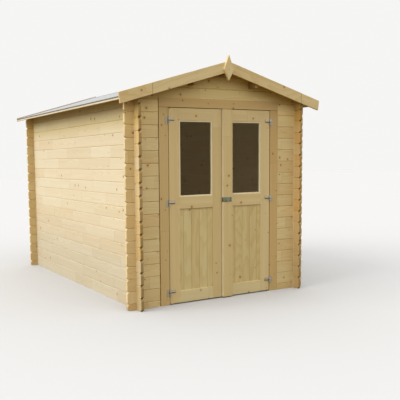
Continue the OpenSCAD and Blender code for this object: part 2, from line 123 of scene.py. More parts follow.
def make_sawn_pine():
    """Growth rings, fibres, knots and finger joints of one pine board, as solid wood all through."""
    inputs = [
        ("Along", "Float", 0.0), ("Across", "Float", 0.0), ("Through", "Float", 0.0), ("Board", "Float", 0.0),
        ("Stick length", "Float", 0.6), ("Finger joint", "Float", 0.6), ("Knots", "Float", 0.2),
        ("End grain", "Float", 0.0), ("Early wood", "Color", early_pine), ("Late wood", "Color", late_pine),
    ]
    outputs = [("Colour", "Color"), ("Height", "Float"), ("Roughness", "Float")]
    tree, given, result = new_group("sawn_pine", inputs, outputs)
    along = given["Along"]
    across = given["Across"]
    through = given["Through"]

    board = shade_node(tree, "TexWhiteNoise", {"W": given["Board"]}, noise_dimensions="1D")
    place = calc(tree, "DIVIDE", along, given["Stick length"])
    place = calc(tree, "MULTIPLY_ADD", given["Board"], 17.31, place)
    sticks = shade_node(tree, "TexVoronoi", {"W": place, "Scale": 1.0, "Randomness": 0.7}, voronoi_dimensions="1D")
    ends = shade_node(tree, "TexVoronoi", {"W": place, "Scale": 1.0, "Randomness": 0.7},
                      voronoi_dimensions="1D", feature="DISTANCE_TO_EDGE")
    chance = shade_node(tree, "SeparateColor", {0: sticks.outputs["Color"]}).outputs
    key = calc(tree, "MULTIPLY", chance[0], 40.0)

    knot_cell = 0.095
    least_knot, widest_knot = 0.0030, 0.0095
    ragged_edge = 0.004
    knot_place = spread(tree, along, across, through, (1 / knot_cell, 1 / knot_cell, 0.0))
    shift = shade_node(tree, "VectorMath", {0: board.outputs["Color"], "Scale": 60.0}, operation="SCALE").outputs[0]
    knot_place = shade_node(tree, "VectorMath", {0: knot_place, 1: shift}, operation="ADD").outputs[0]
    cells = shade_node(tree, "TexVoronoi", {"Vector": knot_place, "Scale": 1.0}, voronoi_dimensions="2D")
    knot_chance = shade_node(tree, "SeparateColor", {0: cells.outputs["Color"]}).outputs
    has_knot = calc(tree, "LESS_THAN", knot_chance[0], given["Knots"])
    knot_r = ramp(tree, knot_chance[1], 0.0, 1.0, least_knot, widest_knot)
    ragged = shade_node(tree, "TexNoise", {"Vector": knot_place, "Scale": 14.0, "Detail": 2.0})
    knot_far = calc(tree, "MULTIPLY", cells.outputs["Distance"], knot_cell)
    knot_far = calc(tree, "MULTIPLY_ADD", ragged.outputs[0], ragged_edge, knot_far)
    knot_far = calc(tree, "SUBTRACT", knot_far, ragged_edge / 2)
    knot_ratio = calc(tree, "DIVIDE", knot_far, knot_r)
    knot_core = calc(tree, "MULTIPLY", ramp(tree, knot_ratio, 1.05, 0.85), has_knot)
    knot_rim = calc(tree, "MULTIPLY", ramp(tree, knot_ratio, 0.65, 0.95), knot_core)
    knot_halo = calc(tree, "MULTIPLY", ramp(tree, knot_ratio, 3.4, 0.9), has_knot)

    sway_place = spread(tree, along, across, through, (1.6, 7.0, 7.0))
    sway = shade_node(tree, "TexNoise", {"Vector": sway_place, "W": key, "Scale": 1.0, "Detail": 2.0},
                      noise_dimensions="4D")
    sway_w = 0.022
    sway = calc(tree, "MULTIPLY_ADD", sway.outputs[0], sway_w, -sway_w / 2)
    tilt_across = calc(tree, "MULTIPLY_ADD", chance[0], 0.05, -0.025)
    tilt_through = calc(tree, "MULTIPLY_ADD", chance[2], 0.05, -0.025)
    pith_across = calc(tree, "MULTIPLY_ADD", chance[1], 0.18, -0.03)
    pith_through = calc(tree, "MULTIPLY_ADD", chance[0], 0.09, 0.02)
    ring_across = calc(tree, "SUBTRACT", calc(tree, "MULTIPLY_ADD", along, tilt_across, across), pith_across)
    ring_through = calc(tree, "ADD", calc(tree, "MULTIPLY_ADD", along, tilt_through, through), pith_through)
    across_2 = calc(tree, "MULTIPLY", ring_across, ring_across)
    radius = calc(tree, "SQRT", calc(tree, "MULTIPLY_ADD", ring_through, ring_through, across_2))
    radius = calc(tree, "ADD", radius, sway)
    radius = calc(tree, "MULTIPLY_ADD", knot_halo, 0.009, radius)
    tightest_ring, ring_range = 0.0030, 0.0022
    ring_w = calc(tree, "MULTIPLY_ADD", chance[1], ring_range, tightest_ring)
    ring = calc(tree, "FRACT", calc(tree, "DIVIDE", radius, ring_w))
    late = calc(tree, "MULTIPLY", ramp(tree, ring, 0.25, 0.90), ramp(tree, ring, 1.0, 0.93))

    streak_place = spread(tree, along, across, through, (0.9, 26.0, 26.0))
    streak = shade_node(tree, "TexNoise", {"Vector": streak_place, "W": key, "Scale": 1.0, "Detail": 3.0},
                        noise_dimensions="4D").outputs[0]
    fibre_place = spread(tree, along, across, through, (16.0, 520.0, 520.0))
    fibre = shade_node(tree, "TexNoise", {"Vector": fibre_place, "Scale": 1.0, "Detail": 2.0}).outputs[0]

    depth = calc(tree, "MULTIPLY_ADD", streak, 0.8, -0.30)
    depth = calc(tree, "MULTIPLY_ADD", late, 0.30, depth)
    depth = calc(tree, "MULTIPLY_ADD", fibre, 0.16, depth)
    depth = calc(tree, "MULTIPLY_ADD", chance[2], 0.40, depth)
    depth = calc(tree, "SUBTRACT", depth, 0.16)
    colour = blend(tree, depth, given["Early wood"], given["Late wood"])
    warm = calc(tree, "MULTIPLY", ramp(tree, board.outputs["Value"], 0.45, 1.0), 0.28)
    colour = blend(tree, warm, colour, warm_tint, "MULTIPLY")
    colour = blend(tree, calc(tree, "MULTIPLY", knot_halo, 0.40), colour, knot_stain)
    colour = blend(tree, calc(tree, "MULTIPLY", knot_core, 0.85), colour, knot_red)
    colour = blend(tree, calc(tree, "MULTIPLY", knot_rim, 0.75), colour, knot_black)

    end_far = calc(tree, "MULTIPLY", ends.outputs["Distance"], given["Stick length"])
    faint_place = spread(tree, along, across, through, (0.0, 45.0, 45.0))
    faint = shade_node(tree, "TexNoise", {"Vector": faint_place, "W": key, "Scale": 1.0, "Detail": 1.0},
                       noise_dimensions="4D").outputs[0]
    finger = calc(tree, "MULTIPLY", ramp(tree, end_far, 0.0016, 0.0006), ramp(tree, faint, 0.25, 0.6, 0.2, 1.0))
    finger = calc(tree, "MULTIPLY", finger, calc(tree, "SUBTRACT", 1.0, given["End grain"]))
    colour = blend(tree, calc(tree, "MULTIPLY", finger, given["Finger joint"]), colour, finger_brown)

    height = calc(tree, "MULTIPLY_ADD", late, 0.35, calc(tree, "MULTIPLY", fibre, 0.5))
    height = calc(tree, "SUBTRACT", height, calc(tree, "MULTIPLY", finger, 1.2))
    height = calc(tree, "SUBTRACT", height, calc(tree, "MULTIPLY", knot_rim, 1.5))
    roughness = calc(tree, "MULTIPLY_ADD", fibre, 0.16, 0.52)
    roughness = calc(tree, "SUBTRACT", roughness, calc(tree, "MULTIPLY", knot_core, 0.12))
    tree.links.new(colour, result["Colour"])
    tree.links.new(height, result["Height"])
    tree.links.new(roughness, result["Roughness"])
    return tree


sawn_pine = make_sawn_pine()
pitch = math.radians(16)
roof_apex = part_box("back_gable")[1].z


def make_log_end():
    """Preservative, end grain and painted shade on log ends that stand out past a corner, at the right and in
    the notches. Start is how far from the middle they begin, and Cut from how far a face turns before it counts as
    end grain."""
    inputs = [
        ("Colour", "Color", early_pine), ("Along", "Float", 0.0), ("Edge", "Float", 0.0), ("Facing", "Float", 0.0),
        ("Board", "Float", 0.0), ("Start", "Float", 1.0), ("Cut from", "Float", 0.3), ("Dip", "Color", no_tint),
        ("Right end shade", "Color", no_tint), ("Cut end", "Color", no_tint),
    ]
    tree, given, result = new_group("log_end", inputs, [("Colour", "Color")])
    texture = shade_node(tree, "TexCoord")
    fade, turn, least_dip = 0.02, 0.15, 0.4
    facing = given["Facing"]
    start = given["Start"]

    dipped = ramp(tree, calc(tree, "ABSOLUTE", given["Along"]), start, calc(tree, "ADD", start, fade))
    uneven = shade_node(tree, "TexWhiteNoise", {"W": given["Board"]}, noise_dimensions="1D").outputs["Value"]
    taken = calc(tree, "MULTIPLY", dipped, calc(tree, "MULTIPLY_ADD", uneven, 1.0 - least_dip, least_dip))
    colour = blend(tree, taken, given["Colour"], given["Dip"], "MULTIPLY")

    # Painted shade: the log ends that stand out at the right are tinted darker and oranger.
    side = shade_node(tree, "SeparateXYZ", {0: texture.outputs["Object"]}).outputs[0]
    right = calc(tree, "MULTIPLY", dipped, calc(tree, "GREATER_THAN", side, 0.0))
    colour = blend(tree, right, colour, given["Right end shade"], "MULTIPLY")

    cut = ramp(tree, facing, given["Cut from"], calc(tree, "ADD", given["Cut from"], turn))
    colour = blend(tree, calc(tree, "MULTIPLY", dipped, cut), colour, given["Cut end"], "MULTIPLY")

    # Painted shade in the notches: their bevels are darkened towards joint brown, most where they face down.
    slanted = calc(tree, "SUBTRACT", ramp(tree, facing, 0.4, 0.6), ramp(tree, facing, 0.8, 0.9))
    rise = shade_node(tree, "SeparateXYZ", {0: texture.outputs["Normal"]}).outputs[2]
    slanted = calc(tree, "MULTIPLY", slanted, ramp(tree, rise, 0.1, -0.2, 0.25, 1.0))
    notch_shade = calc(tree, "MULTIPLY", slanted, ramp(tree, given["Edge"], 0.016, 0.004, 0.0, 0.85))
    tree.links.new(blend(tree, notch_shade, colour, joint_brown), result["Colour"])
    return tree


def make_under_roof():
    """Painted light and shade on wood just under the roof: a tint that fades out below the roof line."""
    inputs = [("Colour", "Color", early_pine), ("Tint", "Color", no_tint)]
    tree, given, result = new_group("under_roof", inputs, [("Colour", "Color")])
    sides = shade_node(tree, "SeparateXYZ", {0: shade_node(tree, "TexCoord").outputs["Object"]}).outputs
    full_roof_shading, no_roof_shading = 0.18, 0.34
    roof_z = calc(tree, "MULTIPLY_ADD", calc(tree, "ABSOLUTE", sides[0]), -math.tan(pitch), roof_apex)
    below = calc(tree, "SUBTRACT", roof_z, sides[2])
    tint = blend(tree, ramp(tree, below, no_roof_shading, full_roof_shading), given["Colour"], given["Tint"], "MULTIPLY")
    tree.links.new(tint, result["Colour"])
    return tree


log_end = make_log_end()
under_roof = make_under_roof()


def timber(name, along, across, through, mirror=None, middle=0.0, board=2.0, first=0.0, face=0.0, stick=4.0,
           finger=0.6, knots=0.2, joint=0.0, joint_w=0.003, number=0.0, cuts=(), ends=None, dip=no_tint,
           cut_end=no_tint, cut_from=0.3, right_wall=no_tint, foot_darkening=0.0, full_roof_shading=None, shaded_seam=None,
           gap_light_edge=None, early=early_pine, late=late_pine):
    """Pine boards that run in one direction. mirror names the axis that both sides of middle share, board
    is their width, first the edge they count from, joint how dark the gap is, and cuts where lengths meet.
    ends is how far from the middle the log ends start, dip the colour of the preservative on them, cut_end
    that of their end grain, from where a face turns by cut_from, and right_wall the painted shade on those at
    the right. splash is how much darker the foot is made, sheltered the painted light and shade just under the
    roof, seam the height of a butted end with painted shadow along it, and gap_light_edge the X of an edge painted
    pale as painted light in the gap."""
    material = bpy.data.materials.new(name)
    material.use_nodes = True
    tree = material.node_tree
    shader = tree.nodes["Principled BSDF"]
    texture = shade_node(tree, "TexCoord")
    place = texture.outputs["Object"]
    sides = shade_node(tree, "SeparateXYZ", {0: place}).outputs
    if mirror is not None:
        off = calc(tree, "SUBTRACT", sides[mirror], middle)
        folded = [calc(tree, "ABSOLUTE", off) if i == mirror else sides[i] for i in range(3)]
        place = shade_node(tree, "CombineXYZ", dict(enumerate(folded))).outputs[0]
    run, width, depth = [
        shade_node(tree, "VectorMath", {0: place, 1: axis}, operation="DOT_PRODUCT").outputs["Value"]
        for axis in (along, across, through)
    ]
    depth = calc(tree, "SUBTRACT", depth, face)
    steps = calc(tree, "DIVIDE", calc(tree, "SUBTRACT", width, first), board)
    count = calc(tree, "ADD", calc(tree, "FLOOR", steps), number)
    other_side, past_cut = 40.0, 9.0
    if mirror is not None:
        count = calc(tree, "MULTIPLY_ADD", calc(tree, "GREATER_THAN", off, 0.0), other_side, count)
    for cut in cuts:
        count = calc(tree, "MULTIPLY_ADD", calc(tree, "GREATER_THAN", sides[0], cut), past_cut, count)
    inside = calc(tree, "MULTIPLY", calc(tree, "FRACT", steps), board)
    edge = calc(tree, "MINIMUM", inside, calc(tree, "SUBTRACT", board, inside))
    facing = shade_node(tree, "VectorMath", {0: texture.outputs["Normal"], 1: along}, operation="DOT_PRODUCT")
    facing = calc(tree, "ABSOLUTE", facing.outputs["Value"])
    end_grain = ramp(tree, facing, 0.85, 0.95)
    grain = shade_node(tree, "Group", {
        "Along": run, "Across": inside, "Through": depth, "Board": count, "End grain": end_grain,
        "Stick length": stick, "Finger joint": finger, "Knots": knots, "Early wood": early, "Late wood": late,
    }, node_tree=sawn_pine)
    colour = grain.outputs["Colour"]
    if ends:
        colour = shade_node(tree, "Group", {
            "Colour": colour, "Along": run, "Edge": edge, "Facing": facing, "Board": count, "Start": ends,
            "Cut from": cut_from, "Dip": dip, "Right end shade": right_wall, "Cut end": cut_end,
        }, node_tree=log_end).outputs["Colour"]
    if foot_darkening:
        darkest_height, even_height = 0.15, 1.0
        colour = blend(tree, ramp(tree, sides[2], darkest_height, even_height, foot_darkening, 0.0), colour, foot_black)
    # Painted light and shade just under the roof.
    if full_roof_shading:
        colour = shade_node(tree, "Group", {"Colour": colour, "Tint": full_roof_shading},
                            node_tree=under_roof).outputs["Colour"]
    # Painted light: an edge made pale so that the gap between the leaves looks lit.
    if gap_light_edge is not None:
        sideways = shade_node(tree, "VectorMath", {0: texture.outputs["Normal"], 1: across}, operation="DOT_PRODUCT")
        sideways = ramp(tree, calc(tree, "ABSOLUTE", sideways.outputs["Value"]), 0.8, 0.95)
        near = ramp(tree, calc(tree, "ABSOLUTE", calc(tree, "SUBTRACT", sides[0], gap_light_edge)), 0.012, 0.008)
        colour = blend(tree, calc(tree, "MULTIPLY", sideways, near), colour, gap_light_pine)
    if joint:
        colour = blend(tree, ramp(tree, edge, joint_w, joint_w / 5, 0.0, joint), colour, joint_brown)
    # A dark joint with painted shadow along the top of the posts, under the head.
    if shaded_seam is not None:
        butt = calc(tree, "ABSOLUTE", calc(tree, "SUBTRACT", sides[2], shaded_seam))
        colour = blend(tree, ramp(tree, butt, 0.0055, 0.003, 0.0, 0.75), colour, joint_brown)
    for cut in cuts:
        butt = calc(tree, "ABSOLUTE", calc(tree, "SUBTRACT", sides[0], cut))
        colour = blend(tree, ramp(tree, butt, 0.0035, 0.001, 0.0, 0.7), colour, joint_brown)
    tree.links.new(colour, shader.inputs["Base Color"])
    tree.links.new(grain.outputs["Roughness"], shader.inputs["Roughness"])
    bump = shade_node(tree, "Bump", {"Height": grain.outputs["Height"], "Strength": 0.5, "Distance": 0.0006})
    tree.links.new(bump.outputs[0], shader.inputs["Normal"])
    shader.inputs["Specular IOR Level"].default_value = 0.3
    return material


def finish_pieces(names, material, edge=0.0, segments=2):
    """Gives CAD nodes their material, and takes the sharpness off their edges."""
    for name in names:
        piece = nodes[name]
        piece.data.materials.clear()
        piece.data.materials.append(material)
        if edge:
            weld = piece.modifiers.new("weld", "WELD")
            weld.merge_threshold = 0.00002
            bevel = piece.modifiers.new("eased edges", "BEVEL")
            bevel.width = edge
            bevel.segments = segments
            bevel.limit_method = "ANGLE"
            bevel.angle_limit = math.radians(25)


# Painted light: the front and gable logs are made lighter just under the roof, against the shade there. The front
# logs' end faces are made paler and bluer.
front_logs = timber("front_logs", X, Z, Y, mirror=1, board=log_h, first=log_h / 2, face=front_face - wall_t,
                    stick=0.60, finger=0.55, knots=0.24, joint=0.22, joint_w=0.004, ends=side_face,
                    dip=(0.98, 0.95, 0.92, 1.0), cut_end=(1.12, 1.17, 1.36, 1.0), cut_from=0.8,
                    full_roof_shading=(1.14, 1.14, 1.08, 1.0))
gable_logs = timber("gable_logs", X, Z, Y, mirror=1, board=log_h, first=log_h / 2, face=front_face - wall_t,
                    stick=0.60, finger=0.4, knots=0.28, joint=0.22, joint_w=0.004, ends=side_face,
                    full_roof_shading=(1.10, 1.08, 0.95, 1.0), early=(0.77, 0.62, 0.32, 1.0))
# Painted shade: the side logs are made darker and yellower just under the eave, and their stubs at the right darker
# and oranger. They are also darker towards the foot.
side_logs = timber("side_logs", Y, Z, X, mirror=0, board=log_h, face=side_face - wall_t, stick=0.62, finger=0.6,
                   knots=0.13, number=80.0, ends=front_face, dip=(0.90, 0.74, 0.44, 1.0),
                   cut_end=(0.58, 0.53, 0.40, 1.0), right_wall=(1.02, 0.92, 0.74, 1.0), foot_darkening=0.20,
                   full_roof_shading=(0.93, 0.91, 0.72, 1.0), early=pale_pine, late=pale_late)
finish_pieces(["front_wall_left", "front_wall_right", "back_wall"], front_logs)
finish_pieces(["front_gable", "back_gable"], gable_logs)
finish_pieces(["left_wall", "right_wall"], side_logs)


# ---- Base logs -------------------------------------------------------------
# Half-height logs under the front and back walls, so that the courses interlock with the
# side walls. They are soaked in preservative and so a little browner than the logs above.

base_logs = timber("base_logs", X, Z, Y, mirror=1, board=log_h, first=-log_h / 2, face=front_face - wall_t,
                   stick=0.62, knots=0.15, number=20.0, ends=side_face, early=(0.72, 0.54, 0.25, 1.0),
                   late=(0.56, 0.36, 0.13, 1.0))
finish_pieces(["front_base", "back_base"], base_logs)


# ---- Purlins ---------------------------------------------------------------
# Three planed softwood beams that run the length of the shed, one at the ridge and one about
# a third of the way down each slope. They are let into the gable logs and carry the roof.

purlin_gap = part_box("side_purlins")[1].x
# Painted shade: the purlins are given a much darker brown than pale spruce, for beams seen in the shade under the
# barge boards.
purlin_wood = timber("purlin_wood", Y, X, Z, board=purlin_gap / 2, first=-purlin_gap * 1.25, face=1.9, stick=9.0,
                     knots=0.25, number=120.0, early=(0.40, 0.26, 0.08, 1.0), late=(0.28, 0.16, 0.04, 1.0))
finish_pieces(["ridge_purlin", "side_purlins"], purlin_wood, 0.0015)


# ---- Roof boards -----------------------------------------------------------
# Tongued and grooved spruce boards, 18 mm thick, that run from the ridge to the eaves. Each is
# nailed to the purlins and to the top logs of the side walls.

down_slope = (math.cos(pitch), 0.0, -math.sin(pitch))
off_slope = (math.sin(pitch), 0.0, math.cos(pitch))
roof_front = -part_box("roof_boards_left")[0].y
deck_count = 32
deck_board = 2 * roof_front / deck_count

# Painted shade: the roof boards are given a darker, more golden brown than the walls, for wood seen in the shade
# under the roof.
roof_wood = timber("roof_wood", down_slope, Y, off_slope, mirror=0, board=deck_board, first=-roof_front, face=2.0,
                   stick=6.0, knots=0.22, joint=0.8, number=160.0, early=(0.55, 0.35, 0.075, 1.0),
                   late=(0.40, 0.22, 0.035, 1.0))
finish_pieces(["roof_boards_left", "roof_boards_right"], roof_wood)


# ---- Eave strips -----------------------------------------------------------
# Planed spruce strips that stiffen the lower ends of the roof boards. They are nailed on
# from the outside, and the edge of the felt folds down over them.

strip_wood = timber("strip_wood", Y, Z, X, mirror=0, face=1.0, stick=1.9, finger=0.35, knots=0.12, number=200.0,
                    early=pale_pine, late=pale_late)
finish_pieces(["eave_strip_left", "eave_strip_right"], strip_wood, 0.0015)


painted_shade_brown = (0.05, 0.035, 0.02, 1.0)


def make_zinc_plating():
    """The cloudy spangle of zinc plating, with painted shade on the faces that look down."""
    inputs = [("Grain", "Float", 160.0), ("Bright", "Color", no_tint), ("Dull", "Color", no_tint)]
    tree, given, result = new_group("zinc_plating", inputs, [("Colour", "Color"), ("Roughness", "Float")])
    texture = shade_node(tree, "TexCoord")
    place = texture.outputs["Object"]
    spangle = shade_node(tree, "TexVoronoi", {"Vector": place, "Scale": given["Grain"]})
    coarse = calc(tree, "DIVIDE", given["Grain"], 4.0)
    cloud = shade_node(tree, "TexNoise", {"Vector": place, "Scale": coarse, "Detail": 4.0}).outputs[0]
    facet = shade_node(tree, "SeparateColor", {0: spangle.outputs["Color"]}).outputs[0]
    tone = calc(tree, "MULTIPLY_ADD", facet, 0.35, calc(tree, "MULTIPLY", cloud, 0.6))
    rise = shade_node(tree, "SeparateXYZ", {0: texture.outputs["Normal"]}).outputs[2]
    # Painted shade on faces that look down.
    under = ramp(tree, rise, -0.5, -0.9, 0.0, 0.9)
    colour = blend(tree, under, blend(tree, tone, given["Dull"], given["Bright"]), painted_shade_brown)
    tree.links.new(colour, result["Colour"])
    tree.links.new(calc(tree, "MULTIPLY_ADD", cloud, 0.25, 0.30), result["Roughness"])
    return tree


zinc_plating = make_zinc_plating()


def make_zinc(name, bright, dull, grain=160.0, low_edges=(), low_w=0.005, shade_tone=painted_shade_brown):
    """Zinc-plated steel, with a band of painted shade low_w either side of each height in low_edges."""
    material = bpy.data.materials.new(name)
    material.use_nodes = True
    tree = material.node_tree
    shader = tree.nodes["Principled BSDF"]
    plating = shade_node(tree, "Group", {"Grain": grain, "Bright": bright, "Dull": dull}, node_tree=zinc_plating)
    colour = plating.outputs["Colour"]
    if low_edges:
        height = shade_node(tree, "SeparateXYZ", {0: shade_node(tree, "TexCoord").outputs["Object"]}).outputs[2]
    # Painted shade in a band at each listed height.
    for low in low_edges:
        off = calc(tree, "ABSOLUTE", calc(tree, "SUBTRACT", height, low))
        colour = blend(tree, ramp(tree, off, low_w + 0.001, low_w - 0.001, 0.0, 0.9), colour, shade_tone)
    tree.links.new(colour, shader.inputs["Base Color"])
    tree.links.new(plating.outputs["Roughness"], shader.inputs["Roughness"])
    shader.inputs["Metallic"].default_value = 0.85
    return material


zinc = make_zinc("zinc_plate", (0.55, 0.49, 0.37, 1.0), (0.26, 0.22, 0.15, 1.0))


def turned(profile, steps):
    """Corners and faces of a shape turned round Z, from radius and height pairs, outside first."""
    corners = []
    faces = []
    for radius, height in profile:
        for step in range(steps):
            angle = 2 * math.pi * step / steps
            corners.append(Vector((radius * math.cos(angle), radius * math.sin(angle), height)))
    for ring in range(len(profile) - 1):
        for step in range(steps):
            a = ring * steps + step
            b = ring * steps + (step + 1) % steps
            faces.append((a, b, b + steps, a + steps))
    faces.append(tuple(range((len(profile) - 1) * steps, len(profile) * steps)))
    return corners, faces


def fasten(name, head, places, facing, body, material):
    """One mesh of like nail or screw heads, each at its place and turned to face out."""
    corners, faces = head
    turn = Vector((0.0, 0.0, 1.0)).rotation_difference(Vector(facing)).to_matrix()
    all_corners = []
    all_faces = []
    for place in places:
        start = len(all_corners)
        all_corners += [turn @ corner + Vector(place) for corner in corners]
        all_faces += [tuple(start + corner for corner in face) for face in faces]
    mesh = bpy.data.meshes.new(name)
    mesh.from_pydata(all_corners, [], all_faces)
    mesh.materials.append(material)
    piece = bpy.data.objects.new(name, mesh)
    bpy.context.scene.collection.objects.link(piece)
    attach(piece, body)
    return piece


def rows(low, high, step):
    """Even places between two ends, about one step apart."""
    count = max(2, round((high - low) / step) + 1)
    return [low + (high - low) * i / (count - 1) for i in range(count)]


to_front = (0.0, -1.0, 0.0)
to_back = (0.0, 1.0, 0.0)
to_left = (-1.0, 0.0, 0.0)
both_sides = ((-1, "left"), (1, "right"))

strip_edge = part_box("eave_strip_right")[1].x
strip_mid = (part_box("eave_strip_right")[0].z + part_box("felt_right")[0].z) / 2
wire_nail = turned([(0.0018, 0.0), (0.0018, 0.0002), (0.0013, 0.0004)], 10)
for side, label in both_sides:
    fasten("strip_nails_" + label, wire_nail,
           [(side * strip_edge, y, strip_mid) for y in rows(-roof_front + 0.04, roof_front - 0.04, 0.3)],
           (side, 0.0, 0.0), "shed", zinc)


# ---- Roofing felt ----------------------------------------------------------
# Bitumen felt with pale grey mineral grit on top, one sheet a side and a band over the
# ridge, folded down over the eave strips and held with broad-headed galvanised nails.

felt_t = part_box("felt_right")[1].x - strip_edge
dark_grit = (0.25, 0.26, 0.265, 1.0)
pale_grit = (0.45, 0.465, 0.47, 1.0)
fold_dark = (0.12, 0.11, 0.105, 1.0)


def make_felt():
    """Grey mineral grit in bitumen, paler where more of it stands up, and darker along the fold."""
    material = bpy.data.materials.new("mineral_felt")
    material.use_nodes = True
    tree = material.node_tree
    shader = tree.nodes["Principled BSDF"]
    place = shade_node(tree, "TexCoord").outputs["Object"]
    grit = shade_node(tree, "TexVoronoi", {"Vector": place, "Scale": 520.0})
    grit_tone = shade_node(tree, "SeparateColor", {0: grit.outputs["Color"]}).outputs[0]
    patches = shade_node(tree, "TexNoise", {"Vector": place, "Scale": 3.0, "Detail": 5.0, "Roughness": 0.6})
    tone = calc(tree, "MULTIPLY_ADD", grit_tone, 0.5, calc(tree, "MULTIPLY", patches.outputs[0], 0.6))
    colour = blend(tree, tone, dark_grit, pale_grit)
    sides = shade_node(tree, "SeparateXYZ", {0: place}).outputs
    fold = ramp(tree, calc(tree, "ABSOLUTE", sides[0]), strip_edge + 0.4 * felt_t, strip_edge + 0.8 * felt_t)
    colour = blend(tree, calc(tree, "MULTIPLY", fold, 0.9), colour, fold_dark)
    tree.links.new(colour, shader.inputs["Base Color"])
    shader.inputs["Roughness"].default_value = 0.85
    bump = shade_node(tree, "Bump", {"Height": grit.outputs["Distance"], "Strength": 0.6, "Distance": 0.0008})
    tree.links.new(bump.outputs[0], shader.inputs["Normal"])
    return material


mineral_felt = make_felt()
finish_pieces(["felt_left", "felt_right", "ridge_felt"], mineral_felt)

clout_nail = turned([(0.0045, 0.0), (0.0045, 0.0005), (0.0030, 0.0010), (0.0012, 0.0012)], 12)
clout_rows = rows(-roof_front + 0.03, roof_front - 0.03, 0.1)
ridge_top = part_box("ridge_felt")[1].z
ridge_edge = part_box("ridge_felt")[1].x
felt_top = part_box("felt_right")[1].z
fold_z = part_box("felt_right")[0].z + 0.005
band = ridge_edge - 0.02

for side, label in both_sides:
    outward = (side * math.sin(pitch), 0.0, math.cos(pitch))
    fasten("ridge_nails_" + label, clout_nail,
           [(side * band, y, ridge_top - band * math.tan(pitch)) for y in clout_rows], outward, "shed", zinc)
    fasten("eave_nails_" + label, clout_nail,
           [(side * (strip_edge + felt_t), y, fold_z) for y in clout_rows], (side, 0.0, 0.0), "shed", zinc)
    verge = [(side * x, end * (roof_front - 0.025), felt_top - x * math.tan(pitch))
             for x in rows(ridge_edge + 0.08, strip_edge - 0.06, 0.1) for end in (-1, 1)]
    fasten("verge_nails_" + label, clout_nail, verge, outward, "shed", zinc)


# ---- Barge boards ----------------------------------------------------------
# Planed boards that cover the roof's edge at the front, each in two lengths butted
# together, and fixed to the purlins and the roof boards with small countersunk screws.

barge_joints = (-0.8006, 0.0, 0.8906)
barge_wood = timber("barge_wood", down_slope, off_slope, Y, mirror=0, face=1.6, stick=6.0, knots=0.12, number=240.0,
                    cuts=barge_joints)
finish_pieces(["front_barge_left", "front_barge_right"], barge_wood, 0.0025, 3)


def cross_screw(radius, height, arm, slot):
    """Corners and faces of a screw head with a cross recess, facing +Z."""
    bm = bmesh.new()
    steps = 16
    chamfer, taper, remaining = 0.86, 0.6, 0.1
    foot = [bm.verts.new((radius * math.cos(a), radius * math.sin(a), 0.0))
            for a in [2 * math.pi * i / steps for i in range(steps)]]
    rim = [bm.verts.new((chamfer * vert.co.x, chamfer * vert.co.y, height)) for vert in foot]
    for i in range(steps):
        bm.faces.new((foot[i], foot[(i + 1) % steps], rim[(i + 1) % steps], rim[i]))
    outline = [(arm, slot), (slot, slot), (slot, arm), (-slot, arm), (-slot, slot), (-arm, slot),
               (-arm, -slot), (-slot, -slot), (-slot, -arm), (slot, -arm), (slot, -slot), (arm, -slot)]
    lip = [bm.verts.new((x, y, height)) for x, y in outline]
    recess = [bm.verts.new((taper * x, taper * y, remaining * height)) for x, y in outline]
    sides = len(outline)
    for i in range(sides):
        bm.faces.new((lip[i], recess[i], recess[(i + 1) % sides], lip[(i + 1) % sides]))
    bm.faces.new(list(reversed(recess)))
    edges = [bm.edges.get((rim[i], rim[(i + 1) % steps])) for i in range(steps)]
    edges += [bm.edges.get((lip[i], lip[(i + 1) % sides])) for i in range(sides)]
    bmesh.ops.triangle_fill(bm, edges=edges, use_beauty=True)
    bmesh.ops.recalc_face_normals(bm, faces=bm.faces)
    bm.verts.index_update()
    corners = [vert.co.copy() for vert in bm.verts]
    faces = [tuple(vert.index for vert in face.verts) for face in bm.faces]
    bm.free()
    return corners, faces


small_screw = cross_screw(0.0035, 0.0007, 0.0020, 0.0006)
barge_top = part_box("front_barge_right")[1].z
barge_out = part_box("front_barge_right")[1].x
barge_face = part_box("front_barge_right")[0].y
purlin_mid = purlin_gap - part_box("ridge_purlin")[1].x
wall_mid = side_face - wall_t / 2
barge_end = barge_out - 0.05

spots = [(side * across, barge_face, barge_top - across * math.tan(pitch) - down)
         for side in (-1, 1) for across in (purlin_mid, wall_mid, barge_end) for down in (0.03, 0.07)]
fasten("barge_screws", small_screw, spots, to_front, "shed", zinc)


# ---- Back verge strips -----------------------------------------------------
# Low sawn strips that close the edge of the roof at the back, nailed to the roof boards. They
# are rougher and greyer than the planed boards at the front.

verge_wood = timber("verge_wood", down_slope, off_slope, Y, mirror=0, face=1.6, stick=6.0, knots=0.15, number=270.0,
                    early=(0.46, 0.37, 0.24, 1.0), late=(0.34, 0.26, 0.16, 1.0))
finish_pieces(["back_barge_left", "back_barge_right"], verge_wood, 0.0015)

verge_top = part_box("back_barge_right")[1].z
verge_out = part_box("back_barge_right")[1].x
verge_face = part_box("back_barge_right")[1].y
spots = [(side * across, verge_face, verge_top - across * math.tan(pitch) - 0.022)
         for side in (-1, 1) for across in rows(0.05, verge_out - 0.05, 0.25)]
fasten("verge_strip_nails", wire_nail, spots, to_back, "shed", zinc)


# ---- Finial ----------------------------------------------------------------
# A diamond sawn from a planed board, which covers the joint of the barge boards at the
# ridge. One large countersunk screw holds it.

finial_wood = timber("finial_wood", Z, X, Y, face=1.5, stick=6.0, knots=0.0, number=300.0)
finish_pieces(["front_finial"], finial_wood, 0.0015)

big_screw = cross_screw(0.0048, 0.0009, 0.0027, 0.0008)
finial_low, finial_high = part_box("front_finial")
screw_rise = 0.101
finial_spot = ((finial_low.x + finial_high.x) / 2, finial_low.y, finial_low.z + screw_rise)
fasten("finial_screw", big_screw, [finial_spot], to_front, "shed", zinc)


# ---- Door frame ------------------------------------------------------------
# Two posts and a head board, rebated over the cut ends of the logs. The posts stand clear
# of the logs, so that the walls can settle.

